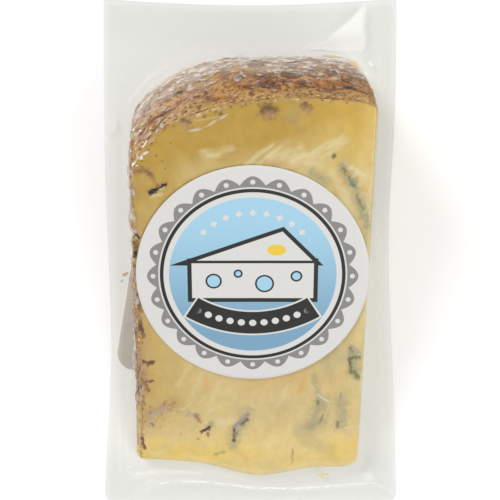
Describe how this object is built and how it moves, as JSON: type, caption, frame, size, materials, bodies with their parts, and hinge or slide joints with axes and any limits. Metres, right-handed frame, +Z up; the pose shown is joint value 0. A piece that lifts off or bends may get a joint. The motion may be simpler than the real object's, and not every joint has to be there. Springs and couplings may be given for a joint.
{
  "type": "vacuum-packed blue cheese wedge",
  "caption": "Wedge of rinded blue cheese sealed in a clear flat vacuum pouch, with a round paper label on its upper cut face and a square one on its back.",
  "frame": {"origin": "on the flat underside, under the centre of the pouch", "axes": "+Y along the pouch from the wedge's tip to its rim, +X across it from the flat rind to the halving cut, +Z up through the wedge's thickness"},
  "size_m": [0.07, 0.1205, 0.0408],
  "materials": {
    "pouch_film": "clear glossy vacuum film",
    "cheese_paste": "soft moist yellow paste with blue-green veins",
    "cheese_rind": "dry brown wrinkled rind",
    "label_paper": "coated printed paper",
    "back_label_paper": "coated printed paper"
  },
  "bodies": {
    "root": {"sealed_pouch": "pouch_film", "front_label": "label_paper", "back_label": "back_label_paper"}
  },
  "joints": []
}
